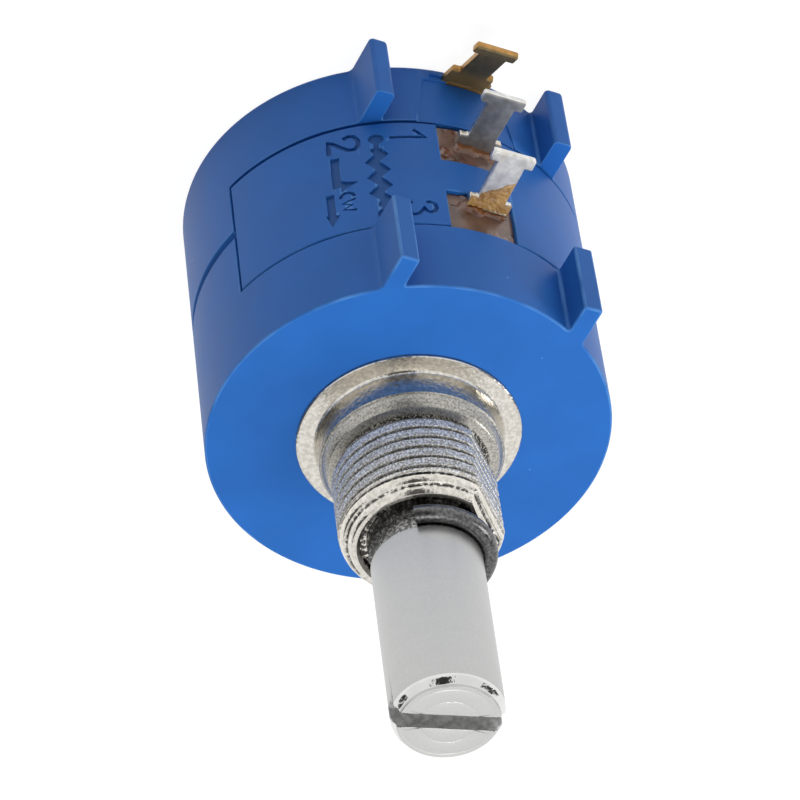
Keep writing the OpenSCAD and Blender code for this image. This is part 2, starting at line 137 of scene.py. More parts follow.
# each screen's turn from the camera's side, its height in degrees and the cosine at its edge
screens = ((0, 46, 0.94), (0, 22, 0.94), (100, 22, 0.90), (-100, 22, 0.90))
camera_turn = math.degrees(math.atan2(-camera_dir.y, -camera_dir.x))
world = bpy.data.worlds.new("studio")
scene.world = world
world.use_nodes = True
tree = world.node_tree
walls = tree.nodes["Background"]
walls.inputs["Color"].default_value = (1, 1, 1, 1)
way = add_node(tree, "ShaderNodeTexCoord")
wall_light = None
for turn, climb, edge in screens:
    middle = Vector((1, 0, 0))
    middle.rotate(Quaternion((0, 1, 0), -math.radians(climb)))
    middle.rotate(Quaternion((0, 0, 1), math.radians(camera_turn + turn)))
    towards = add_node(tree, "ShaderNodeVectorMath", {1: middle}, operation="DOT_PRODUCT")
    screen = add_node(tree, "ShaderNodeMapRange", {
        "From Min": edge, "From Max": edge + screen_blur,
        "To Min": 1 if wall_light else wall_level, "To Max": screen_level,
    }, interpolation_type="SMOOTHSTEP")
    join(tree,
         (way.outputs["Generated"], towards.inputs[0]),
         (towards.outputs["Value"], screen.inputs["Value"]))
    if wall_light:
        dimmed = add_node(tree, "ShaderNodeMath", operation="MULTIPLY")
        join(tree, (wall_light, dimmed.inputs[0]), (screen.outputs["Result"], dimmed.inputs[1]))
        wall_light = dimmed.outputs[0]
    else:
        wall_light = screen.outputs["Result"]
in_gloss = add_node(tree, "ShaderNodeMix", {"A": room_level})
in_view = add_node(tree, "ShaderNodeMix", {"B": 1.0})
straight, by_gloss = view_rays(tree)
join(tree,
     (by_gloss, in_gloss.inputs["Factor"]),
     (wall_light, in_gloss.inputs["B"]),
     (straight, in_view.inputs["Factor"]),
     (in_gloss.outputs["Result"], in_view.inputs["A"]),
     (in_view.outputs["Result"], walls.inputs["Strength"]))


def soft_lamp(name, place, size, watts):
    """A square soft lamp at place that shines on the part."""
    lamp = bpy.data.lights.new(name, "AREA")
    lamp.shape = "SQUARE"
    lamp.size = size
    lamp.energy = watts
    holder = bpy.data.objects.new(name, lamp)
    holder.location = place
    holder.rotation_euler = (-Vector(place)).to_track_quat("-Z", "Y").to_euler()
    scene.collection.objects.link(holder)
    return holder


soft_lamp("key_lamp", (0.02, -0.06, 0.52), 0.35, 2.45).visible_glossy = False
soft_lamp("side_lamp", (0.15, -0.42, 0.16), 0.12, 0.5)
soft_lamp("spark_lamp", (0.02, -0.06, 0.52), 0.05, 0.35)


# ---------------------------------------------------------------------------
# Moulded housing. Two cups of blue thermoset, glass-filled and satin, with a
# pair of ribs on each side of the lugs. They meet at a spigot joint.
# ---------------------------------------------------------------------------
body_r = 11.11
cavity_r = 9.91
rib_y = 4.85
rib_t = 1.1
rib_land = 11.93
rib_fillets = ((0.24, 1), (0.12, -1))    # wide on the flanks that face +Y, narrow on the others
fillet_gap = 3.4                         # degrees of the round kept clear inside a rib for it
fillet_gap_back = 3.5                    # and at its back
plate_front = -4.9
plate_back = -13.5
plate_half = 76                          # degrees, half of the opening for the plate
seam_front = -9.35
seam_back = -9.65
rear_end = -18.1
edge_round = 0.06
brim_round = 0.08
facet = 1                                # degrees between the facets of a round wall
merged = 1e-4                            # corners nearer than this are one
# the narrow, sharply turned faces that these pick out get a painted highlight
highlight_width = 0.1                       # a face narrower than this belongs to a rounded edge
highlight_turn = math.radians(20)           # if it also turns this far from its neighbour


def face_outwards(bm):
    """Turns every face of a closed shape outwards."""
    bmesh.ops.recalc_face_normals(bm, faces=bm.faces)
    if bm.calc_volume(signed=True) < 0:
        bmesh.ops.reverse_faces(bm, faces=bm.faces)


def new_piece(name, bm, finishes, body, replaced, smooth=32, weighted=True):
    """Finishes a bmesh in millimetres as a piece: scale, normals, materials and frame calls."""
    bmesh.ops.remove_doubles(bm, verts=bm.verts, dist=merged)
    face_outwards(bm)
    bmesh.ops.scale(bm, verts=bm.verts, vec=(MM, MM, MM))
    mesh = bpy.data.meshes.new(name)
    for face in bm.faces:
        face.smooth = True
    bm.to_mesh(mesh)
    bm.free()
    mesh.set_sharp_from_angle(angle=math.radians(smooth))
    for finish in finishes:
        mesh.materials.append(finish)
    piece = bpy.data.objects.new(name, mesh)
    scene.collection.objects.link(piece)
    if weighted:
        even = piece.modifiers.new("even_normals", "WEIGHTED_NORMAL")
        even.keep_sharp = True
    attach(piece, body)
    if replaced:
        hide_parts(*replaced)


def carve(bm, tool, operation="DIFFERENCE"):
    """Returns bm with the shape of tool cut away or joined on. Both are used up."""
    objects = []
    for part in (bm, tool):
        face_outwards(part)
        mesh = bpy.data.meshes.new("blank")
        part.to_mesh(mesh)
        part.free()
        blank = bpy.data.objects.new("blank", mesh)
        scene.collection.objects.link(blank)
        objects.append(blank)
    cut = objects[0].modifiers.new("cut", "BOOLEAN")
    cut.object = objects[1]
    cut.operation = operation
    cut.solver = "EXACT"
    result = objects[0].evaluated_get(bpy.context.evaluated_depsgraph_get()).to_mesh()
    done = bmesh.new()
    done.from_mesh(result)
    for blank in objects:
        mesh = blank.data
        bpy.data.objects.remove(blank)
        bpy.data.meshes.remove(mesh)
    bmesh.ops.remove_doubles(done, verts=done.verts, dist=merged)
    return done


def turned(profile):
    """A closed solid of revolution about Z from (radius, height) corners, in millimetres."""
    bm = bmesh.new()
    corners = [bm.verts.new((r, 0, z)) for r, z in profile]
    edges = [bm.edges.new(pair) for pair in zip(corners, corners[1:])]
    if profile[0][0] > 0:
        edges.append(bm.edges.new((corners[-1], corners[0])))
    bmesh.ops.spin(bm, geom=corners + edges, cent=(0, 0, 0), axis=(0, 0, 1), dvec=(0, 0, 0),
                   angle=2 * math.pi, steps=360 // facet, use_merge=True, use_duplicate=False)
    bmesh.ops.remove_doubles(bm, verts=bm.verts, dist=merged / 10)
    face_outwards(bm)
    return bm


def rotate(bm, angle, axis):
    """Turns a bmesh round an axis through the origin, by an angle in radians."""
    bmesh.ops.rotate(bm, verts=bm.verts, cent=(0, 0, 0), matrix=Matrix.Rotation(angle, 3, axis))


def extrude(bm, height):
    """Gives flat faces a second layer at a height above them, and returns its corners."""
    grown = bmesh.ops.extrude_face_region(bm, geom=bm.faces[:])["geom"]
    lifted = [part for part in grown if isinstance(part, bmesh.types.BMVert)]
    bmesh.ops.translate(bm, verts=lifted, vec=(0, 0, height))
    return lifted


def box(low, high):
    """A rectangular solid from one corner to the other, in millimetres."""
    bm = bmesh.new()
    bmesh.ops.create_cube(bm, size=1)
    low, high = Vector(low), Vector(high)
    bmesh.ops.transform(bm, verts=bm.verts, matrix=(
        Matrix.Translation((low + high) / 2) @ Matrix.Diagonal((*(high - low), 1))))
    return bm


def prism(outline, bottom, height):
    """An upright solid on the outline's (x, y) corners."""
    bm = bmesh.new()
    bm.faces.new([bm.verts.new((x, y, bottom)) for x, y in outline])
    extrude(bm, height)
    face_outwards(bm)
    return bm


def bevel(bm, parts, width, segments, affect="EDGES"):
    """Rounds edges, or the corners of a flat outline."""
    bmesh.ops.bevel(bm, geom=parts, offset=width, segments=segments, profile=0.5,
                    affect=affect, material=-1, clamp_overlap=False)


def bevel_sharp(bm, width, segments, wanted, angle=35):
    """Rounds the sharp edges for which wanted(edge middle) is true."""
    sharp = [e for e in bm.edges if len(e.link_faces) == 2
             and e.calc_face_angle(0) > math.radians(angle)
             and wanted((e.verts[0].co + e.verts[1].co) / 2)]
    bevel(bm, sharp, width, segments)


def arc(first, last, steps):
    """Points on the housing's round from one angle to another, in degrees."""
    turns = [math.radians(first + (last - first) * i / steps) for i in range(steps + 1)]
    return [(body_r * math.cos(a), body_r * math.sin(a)) for a in turns]


def cup(z_end, z_rim, crown_round, end_round):
    """Outside of a cup with its ribs, from its closed end to its rim, with rounded edges."""
    root = math.degrees(math.asin(rib_y / body_r))
    back = math.degrees(math.asin((rib_y + rib_t) / body_r))
    inner = arc(fillet_gap - root, root - fillet_gap, 44 // facet)
    outer = arc(back + fillet_gap_back, 360 - fillet_gap_back - back, 288 // facet)
    ends = [body_r * math.cos(math.radians(a)) for a in (root, back)]
    rib = [(ends[0], rib_y), (rib_land, rib_y), (rib_land, rib_y + rib_t), (ends[1], rib_y + rib_t)]
    bm = bmesh.new()
    bm.faces.new([bm.verts.new((x, y, z_end))
                  for x, y in inner + rib + outer + [(x, -y) for x, y in reversed(rib)]])
    corners = [v for v in bm.verts
               if any(abs(abs(v.co.y) - flank) < 1e-3 for flank in (rib_y, rib_y + rib_t))]
    crowns = [v for v in corners if v.co.x >= rib_land - 0.1]
    roots = [v for v in corners if v.co.x < rib_land - 0.1]
    bevel(bm, crowns, crown_round, 3, "VERTICES")
    for fillet, flank in rib_fillets:
        picked = [v for v in roots if v.is_valid
                  and flank * (abs(v.co.y) - rib_y - rib_t / 2) * v.co.y > 0]
        bevel(bm, picked, fillet, 4, "VERTICES")
    extrude(bm, z_rim - z_end)
    face_outwards(bm)
    for z, width, segments in ((z_end, end_round, 3), (z_rim, brim_round, 1)):
        rim = [e for e in bm.edges if all(abs(v.co.z - z) < merged for v in e.verts)]
        bevel(bm, rim, width, segments)
    return bm


def plate_opening(z0, z1):
    """The sector round +X that the terminal plate needs, from z0 up to z1."""
    reach = (body_r + 2) / math.cos(math.radians(plate_half / 2))
    turns = [math.radians(plate_half * i / 2) for i in range(-2, 3)]
    fan = [(0, 0)] + [(reach * math.cos(a), reach * math.sin(a)) for a in turns]
    return prism(fan, z0, z1 - z0)


def find_highlit_edges(bm):
    """Marks the narrow faces along the rounded edges, which a paler colour turns into a painted
    highlight.
    """
    face_outwards(bm)
    painted_edge_highlight = bm.faces.layers.float.new("painted_edge_highlight")
    for face in bm.faces:
        width = 2 * face.calc_area() / face.calc_perimeter()
        turn = max(edge.calc_face_angle_signed(0) for edge in face.edges)
        face[painted_edge_highlight] = 1 if width < highlight_width and turn > highlight_turn else 0


def new_finish(name):
    """A material, with its node tree, its shader and the piece's own coordinates."""
    material = bpy.data.materials.new(name)
    material.use_nodes = True
    tree = material.node_tree
    place = add_node(tree, "ShaderNodeTexCoord").outputs["Object"]
    return material, tree, tree.nodes["Principled BSDF"], place


def two_tone(tree, dark, light, start, end):
    """A colour ramp between two tones."""
    ramp = add_node(tree, "ShaderNodeValToRGB")
    for element, tone, position in zip(ramp.color_ramp.elements, (dark, light), (start, end)):
        element.position = position
        element.color = (*tone, 1)
    return ramp


def tinted(color, factor):
    """A colour made darker or lighter, kept within white."""
    return [min(1, factor * c) for c in color]


def moulded_plastic(name, color, lighter, roughness):
    """Satin thermoset: slow mottling, fine pits and specks, and a patchy painted highlight in the
    paler colour along the rounded edges.
    """
    material, tree, shader, place = new_finish(name)
    mottle = add_node(tree, "ShaderNodeTexNoise", {"Scale": 260, "Detail": 5})
    tint = two_tone(tree, tinted(color, 0.93), tinted(color, 1.07), 0.3, 0.72)
    dust = add_node(tree, "ShaderNodeTexVoronoi", {"Scale": 900})
    dust_size = add_node(tree, "ShaderNodeMath", {1: 0.06}, operation="LESS_THAN")
    rare = add_node(tree, "ShaderNodeMath", {1: 0.96}, operation="GREATER_THAN")
    split = add_node(tree, "ShaderNodeSeparateColor")
    speck = add_node(tree, "ShaderNodeMath", operation="MULTIPLY")
    # painted highlight: the narrow faces of rounded edges are mixed towards the paler colour
    painted_edge_highlight = add_node(tree, "ShaderNodeAttribute", attribute_name="painted_edge_highlight")
    patchy = add_node(tree, "ShaderNodeMapRange", {
        "From Min": 0.35, "From Max": 0.65, "To Min": 0.1, "To Max": 0.8})
    edge = add_node(tree, "ShaderNodeMath", operation="MULTIPLY")
    pale = add_node(tree, "ShaderNodeMath", operation="MAXIMUM")
    specks_and_highlight = add_node(tree, "ShaderNodeMix", {"B": (*lighter, 1)}, data_type="RGBA")
    grain = add_node(tree, "ShaderNodeTexNoise", {"Scale": 4200, "Detail": 3})
    swell = add_node(tree, "ShaderNodeTexNoise", {"Scale": 420})
    heights = add_node(tree, "ShaderNodeMath", {1: 2.5}, operation="MULTIPLY_ADD")
    bump = add_node(tree, "ShaderNodeBump", {"Strength": 0.25, "Distance": 0.00001})
    rough = add_node(tree, "ShaderNodeMapRange", {
        "To Min": roughness - 0.05, "To Max": roughness + 0.07})
    join(tree,
         (place, mottle.inputs["Vector"]),
         (place, dust.inputs["Vector"]),
         (place, grain.inputs["Vector"]),
         (place, swell.inputs["Vector"]),
         (mottle.outputs["Fac"], tint.inputs["Fac"]),
         (mottle.outputs["Fac"], rough.inputs["Value"]),
         (rough.outputs["Result"], shader.inputs["Roughness"]),
         (dust.outputs["Distance"], dust_size.inputs[0]),
         (dust.outputs["Color"], split.inputs["Color"]),
         (split.outputs["Red"], rare.inputs[0]),
         (dust_size.outputs[0], speck.inputs[0]),
         (rare.outputs[0], speck.inputs[1]),
         (painted_edge_highlight.outputs["Fac"], edge.inputs[0]),
         (swell.outputs["Fac"], patchy.inputs["Value"]),
         (patchy.outputs["Result"], edge.inputs[1]),
         (speck.outputs[0], pale.inputs[0]),
         (edge.outputs[0], pale.inputs[1]),
         (pale.outputs[0], specks_and_highlight.inputs["Factor"]),
         (tint.outputs["Color"], specks_and_highlight.inputs["A"]),
         (specks_and_highlight.outputs["Result"], shader.inputs["Base Color"]),
         (swell.outputs["Fac"], heights.inputs[0]),
         (grain.outputs["Fac"], heights.inputs[2]),
         (heights.outputs[0], bump.inputs["Height"]),
         (bump.outputs["Normal"], shader.inputs["Normal"]))
    shader.inputs["Specular IOR Level"].default_value = 0.2
    return material


housing_blue = moulded_plastic("housing_blue", (0.018, 0.124, 0.440), (0.08, 0.25, 0.60), 0.46)

socket_r = 10.51                         # the spigot joint's outer wall, in the front cup
socket_z = -8.4
spigot_r = 10.46                         # and its inner one, on the rear cup
spigot_z = -8.45
face_inside = -1.5
floor_inside = -16.7
hole_r = 5.15                            # the bushing's hole in the face
flange_seat_r = 6.2
flange_seat_z = -0.08

front = cup(0, seam_front, crown_round=0.14, end_round=0.12)
front = carve(front, turned([
    (0, face_inside), (cavity_r, face_inside), (cavity_r, socket_z), (socket_r, socket_z),
    (socket_r, -20), (0, -20)]))
front = carve(front, turned([
    (0, -3), (hole_r, -3), (hole_r, flange_seat_z), (flange_seat_r, flange_seat_z),
    (flange_seat_r, 1), (0, 1)]))
front = carve(front, plate_opening(-30, plate_front))
bevel_sharp(front, edge_round, 2, lambda p: math.hypot(p.x, p.y) > 10.9 and p.z < -0.5)
find_highlit_edges(front)
new_piece("front_cup", front, [housing_blue], "housing", ["front_housing"])

rear = cup(rear_end, seam_back, crown_round=0.24, end_round=0.22)
spigot = turned([(spigot_r, -12), (cavity_r, -12), (cavity_r, spigot_z), (spigot_r, spigot_z)])
rear = carve(rear, spigot, "UNION")
seam_step = turned([(10.75, -12), (10.3, -12), (10.3, -9.42), (10.75, -9.42)])
rear = carve(rear, seam_step, "UNION")
rim_slope = turned([(11.14, -9.946), (11.14, -9.6), (10.8, -9.6), (10.8, seam_back)])
rear = carve(rear, rim_slope)
rear = carve(rear, turned([(0, floor_inside), (cavity_r, floor_inside), (cavity_r, 0), (0, 0)]))
rear = carve(rear, plate_opening(plate_back, 20))
field_r = 11.01                          # the floor of the shallow field below lug 2
field = prism([(17.15, -2.35), (17.15, 2.35), (13.3, 3.04), (13.3, -3.04)], 0, 13)
rotate(field, math.pi / 2, "Y")
field = carve(field, turned([(0, -20), (field_r, -20), (field_r, -10), (0, -10)]))
rear = carve(rear, field)
ridge = box((10.5, 1.1, -17.56), (body_r + 0.03, 1.95, -17.44))
rear = carve(rear, ridge, "UNION")
bevel_sharp(rear, edge_round, 2, lambda p: math.hypot(p.x, p.y) > 11.05 and p.z > -13.8)
lug_slot = box((8.9, -1.58, -17.63), (12.11, 0.98, -17.07))
rear = carve(rear, lug_slot)
find_highlit_edges(rear)
new_piece("rear_cup", rear, [housing_blue], "housing", ["rear_housing"])

# ---------------------------------------------------------------------------
# Terminal plate. A curved moulding let into the opening between the cups,
# with a window for each side lug and the terminal numbers sunk in its face.
# ---------------------------------------------------------------------------
plate_z0 = -13.30
plate_z1 = -5.0
plate_t = 1.2
plate_reach = math.radians(75.3) * body_r
window_half = 2.0
window_len = 2.9
mark_depth = 0.16
dot_r = 0.44
plate_cuts = 75                          # degrees to each side in which the plate can bend


def around(azimuth):
    """Length along the housing's surface from the lugs' centre line, for an angle in degrees."""
    return math.radians(azimuth) * body_r


def stroke(path, width):
    """Outline of a line of the given width along a path of corners, mitred at its bends."""
    points = [Vector(p) for p in path]
    left, right = [], []
    for i, point in enumerate(points):
        before = (point - points[i - 1]).normalized() if i else (points[1] - point).normalized()
        after = (points[i + 1] - point).normalized() if i < len(points) - 1 else before
        normal = Vector((-before.y - after.y, before.x + after.x)).normalized()
        reach = width / 2 / max(0.7, normal.dot(Vector((-before.y, before.x))))
        left.append(point + reach * normal)
        right.append(point - reach * normal)
    return [tuple(p) for p in left + right[::-1]]


def roll_up(bm):
    """Bends a flat piece, laid out as (around, along, outwards), to the housing's round."""
    for vert in bm.verts:
        turn, along, radius = vert.co.x / body_r, vert.co.y, body_r + vert.co.z
        vert.co = (radius * math.cos(turn), radius * math.sin(turn), along)


plate = prism([
    (-plate_reach, plate_z0), (-window_half, plate_z0), (-window_half, plate_z0 + window_len),
    (window_half, plate_z0 + window_len), (window_half, plate_z0), (plate_reach, plate_z0),
    (plate_reach, plate_z1), (window_half, plate_z1), (window_half, plate_z1 - window_len),
    (-window_half, plate_z1 - window_len), (-window_half, plate_z1), (-plate_reach, plate_z1),
], -plate_t, plate_t)
bevel_sharp(plate, edge_round, 1, lambda p: p.z > -plate_t / 2)

# each mark's path in degrees around and millimetres along, and the width of its line
marks = (
    # the resistor's zig-zag and its two leads
    ([(28.5, -11.25), (28.5, -11.1), (27.2, -10.74), (30.0, -10.17), (27.2, -9.47), (30.0, -8.9),
      (27.2, -8.2), (30.0, -7.66), (27.2, -7.03), (28.3, -6.7), (28.3, -6.5)], 0.62),
    ([(28.2, -11.9), (28.5, -11.0)], 0.3),
    ([(28.3, -6.8), (28.3, -6.0)], 0.3),
    # the numbers 1, 2 and 3
    ([(17.3, -12.72), (15.5, -12.36), (14.1, -12.12), (16, -12.1), (24.3, -12.06)], 0.24),
    ([(37.4, -12.42), (35.9, -12.57), (34.3, -12.48), (33.2, -12.1), (33.3, -11.68), (34.4, -11.42),
      (36.2, -11.46), (38.3, -11.8), (40.4, -12.24), (41.75, -12.42), (41.85, -12), (41.8, -11.4)],
     0.27),
    ([(16.6, -6.72), (15.4, -6.78), (14.3, -6.65), (13.9, -6.35), (14.3, -6.06), (15.5, -5.93),
      (16.7, -6.02), (17.3, -6.25), (17.9, -6.05), (19, -5.8), (20.5, -5.72), (21.7, -5.9),
      (22.1, -6.3), (21.6, -6.62), (20.5, -6.75)], 0.24),
    # the wiper's lead, then C, W and the shaft of the arrow for clockwise
    ([(40.4, -11.05), (40.7, -9.9), (40.7, -8.6)], 0.5),
    ([(40.3, -7.72), (39.8, -7.95), (38.9, -8.08), (37.7, -8.07), (36.7, -7.94), (36.2, -7.68)], 0.2),
    ([(36.0, -7.5), (39.8, -7.28), (37.2, -7.03), (39.8, -6.8), (36.0, -6.58)], 0.17),
    ([(43.1, -8.25), (43.15, -6.5)], 0.46),
)
outlines = [stroke([(around(a), z) for a, z in path], width) for path, width in marks]
for arrow_head in (((39.6, -9.12), (34.6, -8.8), (39.6, -8.2)),
                   ((44.95, -6.68), (40.85, -6.48), (43.4, -5.65))):
    outlines.append([(around(a), z) for a, z in arrow_head])
for outline in outlines:
    plate = carve(plate, prism(outline, -mark_depth, 1))
for azimuth, along in ((28.15, -12.02), (28.3, -5.9)):    # a dot at each end of the resistor
    dot = bmesh.new()
    bmesh.ops.create_circle(dot, cap_ends=True, segments=20, radius=dot_r)
    extrude(dot, 1)
    bmesh.ops.translate(dot, verts=dot.verts, vec=(around(azimuth), along, -mark_depth))
    plate = carve(plate, dot)
# the floors of the marks take a darker blue: painted shade in the sunk marks
for face in plate.faces:                 # the floors of the marks
    depth = -face.calc_center_median().z
    if mark_depth - 0.05 < depth < mark_depth + 0.02 and abs(face.normal.z) > 0.9:
        face.material_index = 1
for step in range(-plate_cuts // facet, plate_cuts // facet + 1):
    bmesh.ops.bisect_plane(plate, geom=plate.verts[:] + plate.edges[:] + plate.faces[:], dist=1e-5,
                           plane_co=(around(facet * step + 0.2), 0, 0), plane_no=(1, 0, 0))
find_highlit_edges(plate)
roll_up(plate)
# darker blue for the floors of the marks, a painted shade
mark_shade_blue = moulded_plastic("mark_shade_blue", (0.020, 0.092, 0.300), (0.10, 0.20, 0.42), 0.55)
new_piece("plate", plate, [housing_blue, mark_shade_blue], "housing", ["terminal_plate"])


# ---------------------------------------------------------------------------
# Element carrier and its two windows. The brown resin moulding holds the
# element; a lumpy layer of the same glossy resin is poured round each lug.
# ---------------------------------------------------------------------------
def poured_resin(name, dark, light, roughness):
    """Glossy brown resin, cloudy inside, with a lumpy skin, and amber where flux has run."""
    material, tree, shader, place = new_finish(name)
    cloud = add_node(tree, "ShaderNodeTexNoise", {"Scale": 900, "Detail": 6})
    tint = two_tone(tree, dark, light, 0.35, 0.68)
    lumps = add_node(tree, "ShaderNodeTexNoise", {"Scale": 1900, "Detail": 2})
    bump = add_node(tree, "ShaderNodeBump", {"Strength": 0.6, "Distance": 0.00006})
    spilt = add_node(tree, "ShaderNodeAttribute", attribute_name="flux")
    amber = add_node(tree, "ShaderNodeMix", {"B": (0.24, 0.082, 0.016, 1)}, data_type="RGBA")
    join(tree,
         (place, cloud.inputs["Vector"]),
         (place, lumps.inputs["Vector"]),
         (cloud.outputs["Fac"], tint.inputs["Fac"]),
         (lumps.outputs["Fac"], bump.inputs["Height"]),
         (bump.outputs["Normal"], shader.inputs["Normal"]),
         (spilt.outputs["Fac"], amber.inputs["Factor"]),
         (tint.outputs["Color"], amber.inputs["A"]),
         (amber.outputs["Result"], shader.inputs["Base Color"]))
    shader.inputs["Roughness"].default_value = roughness
    shader.inputs["Coat Weight"].default_value = 0.6
    shader.inputs["Coat Roughness"].default_value = 0.08
    return material


def finish_node(name, finish):
    """Gives a CAD node, which keeps its shape, a material of its own."""
    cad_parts[name].data.materials.clear()
    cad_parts[name].data.materials.append(finish)


def blank_grid(columns, rows, width, length, middle, height):
    """A flat grid of faces, width along X and length along Y, with its middle at middle."""
    bm = bmesh.new()
    bmesh.ops.create_grid(bm, x_segments=columns, y_segments=rows, size=0.5)
    bmesh.ops.scale(bm, verts=bm.verts, vec=(width, length, 1))
    bmesh.ops.translate(bm, verts=bm.verts, vec=(*middle, height))
    return bm


carrier_brown = poured_resin("carrier_brown", (0.085, 0.040, 0.026), (0.20, 0.105, 0.070), 0.45)
window_resin = poured_resin("window_resin", (0.072, 0.025, 0.016), (0.21, 0.086, 0.055), 0.12)
finish_node("element_carrier", carrier_brown)

pool_half = window_half - 0.03
pool_bottom = -0.45
pool_level = -0.27
drip_half = 1.0                          # half of the width of the drips under a lug
drip_middle = -0.3
drip_height = 0.22
# each window's number, its lower and upper end along Z and the lug's front face
for number, low, high, lug_face in ((1, -13.28, -10.45, -11.90), (3, -7.85, -5.02, -7.05)):
    pool = blank_grid(44, 32, 2 * pool_half, high - low, (0, (low + high) / 2), pool_bottom)
    flux = pool.verts.layers.float.new("flux")
    for vert in extrude(pool, 0):
        across, along = vert.co.x, vert.co.y
        at = vert.co * 0.9 + Vector((0, 0, number))
        reach = 0.45 + 0.35 * noise.noise(Vector((1.6 * across, 0.3, number)))
        off_side = max(0, abs(across - drip_middle) - drip_half) / 0.35
        off_face = max(0, along - lug_face) / reach if along > lug_face - 0.3 else 9
        vert[flux] = max(0, 1 - math.hypot(off_side, off_face) ** 2)
        lumps = 0.10 * noise.noise(at) + 0.05 * noise.noise(at * 2.7)
        drip = drip_height * math.sqrt(vert[flux]) * (1 + 0.3 * noise.noise(at * 4))
        vert.co.z = pool_level + lumps + drip
    roll_up(pool)
    new_piece(f"resin_{number}", pool, [window_resin], "housing", [], 60, False)


# ---------------------------------------------------------------------------
# Solder lugs. Hammer-head blanks stamped from thin sheet: 1 and 3 are tinned,
# 2 is bare brass, and soldering has left flux on 3 and on 2's foot.
# ---------------------------------------------------------------------------
def from_node(name):
    """A merged copy of a CAD node's mesh, in millimetres, with its flat faces whole."""
    bm = bmesh.new()
    bm.from_mesh(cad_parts[name].data)
    bmesh.ops.scale(bm, verts=bm.verts, vec=(1 / MM, 1 / MM, 1 / MM))
    bmesh.ops.remove_doubles(bm, verts=bm.verts, dist=10 * merged)
    bmesh.ops.dissolve_limit(bm, angle_limit=math.radians(1), verts=bm.verts, edges=bm.edges,
                             use_dissolve_boundaries=False, delimit=set())
    return bm


def sheet_metal(name, color, stain, stain_from, stain_to, roughness, metallic=1.0):
    """Stamped sheet: scratched and slightly dirty, stained towards its foot along X."""
    material, tree, shader, place = new_finish(name)
    axis = add_node(tree, "ShaderNodeSeparateXYZ")
    foot = add_node(tree, "ShaderNodeMapRange", {
        "From Min": stain_from * MM, "From Max": stain_to * MM})
    blotch = add_node(tree, "ShaderNodeTexNoise", {"Scale": 1100, "Detail": 4})
    uneven = add_node(tree, "ShaderNodeMath", {1: 1.6, 2: -0.8}, operation="MULTIPLY_ADD")
    amount = add_node(tree, "ShaderNodeMath", operation="ADD", use_clamp=True)
    shade = add_node(tree, "ShaderNodeTexNoise", {"Scale": 2300, "Detail": 6})
    shades = two_tone(tree, tinted(color, 0.72), tinted(color, 1.12), 0.3, 0.7)
    paint = add_node(tree, "ShaderNodeMix", {"B": (*stain, 1)}, data_type="RGBA")
    scratch = add_node(tree, "ShaderNodeTexNoise", {"Scale": 3000, "Detail": 4, "Distortion": 1.5})
    bump = add_node(tree, "ShaderNodeBump", {"Strength": 0.5, "Distance": 0.00002})
    rough = add_node(tree, "ShaderNodeMapRange", {
        "To Min": roughness - 0.1, "To Max": roughness + 0.14})
    join(tree,
         (place, axis.inputs["Vector"]),
         (place, blotch.inputs["Vector"]),
         (place, shade.inputs["Vector"]),
         (place, scratch.inputs["Vector"]),
         (axis.outputs["X"], foot.inputs["Value"]),
         (blotch.outputs["Fac"], uneven.inputs[0]),
         (foot.outputs["Result"], amount.inputs[0]),
         (uneven.outputs[0], amount.inputs[1]),
         (amount.outputs[0], paint.inputs["Factor"]),
         (shade.outputs["Fac"], shades.inputs["Fac"]),
         (shades.outputs["Color"], paint.inputs["A"]),
         (paint.outputs["Result"], shader.inputs["Base Color"]),
         (shade.outputs["Fac"], rough.inputs["Value"]),
         (rough.outputs["Result"], shader.inputs["Roughness"]),
         (scratch.outputs["Fac"], bump.inputs["Height"]),
         (bump.outputs["Normal"], shader.inputs["Normal"]))
    shader.inputs["Metallic"].default_value = metallic
    return material


dull_tin = sheet_metal("dull_tin", (0.31, 0.31, 0.30), (0.20, 0.17, 0.15), 11.8, 10.6, 0.45, 0.6)
bright_tin = sheet_metal("bright_tin", (0.74, 0.725, 0.685), (0.52, 0.44, 0.30), 11.7, 11.2, 0.4, 0.8)
# the paler edge finishes paint a highlight along the lugs' edges
tin_edge_highlight = sheet_metal("tin_edge_highlight", (0.80, 0.80, 0.78), (0.66, 0.56, 0.42), 12.0, 11.2, 0.3)
old_brass = sheet_metal("old_brass", (0.20, 0.152, 0.070), (0.36, 0.22, 0.07), 13.1, 11.9, 0.45, 0.5)
brass_edge_highlight = sheet_metal("brass_edge_highlight", (0.50, 0.28, 0.10), (0.34, 0.19, 0.06), 13.4, 11.9, 0.35)
golden_flux = poured_resin("golden_flux", (0.22, 0.105, 0.028), (0.50, 0.31, 0.11), 0.1)
brown_flux = poured_resin("brown_flux", (0.17, 0.095, 0.030), (0.34, 0.20, 0.065), 0.35)
film_low = 11.05
film_high = 12.6


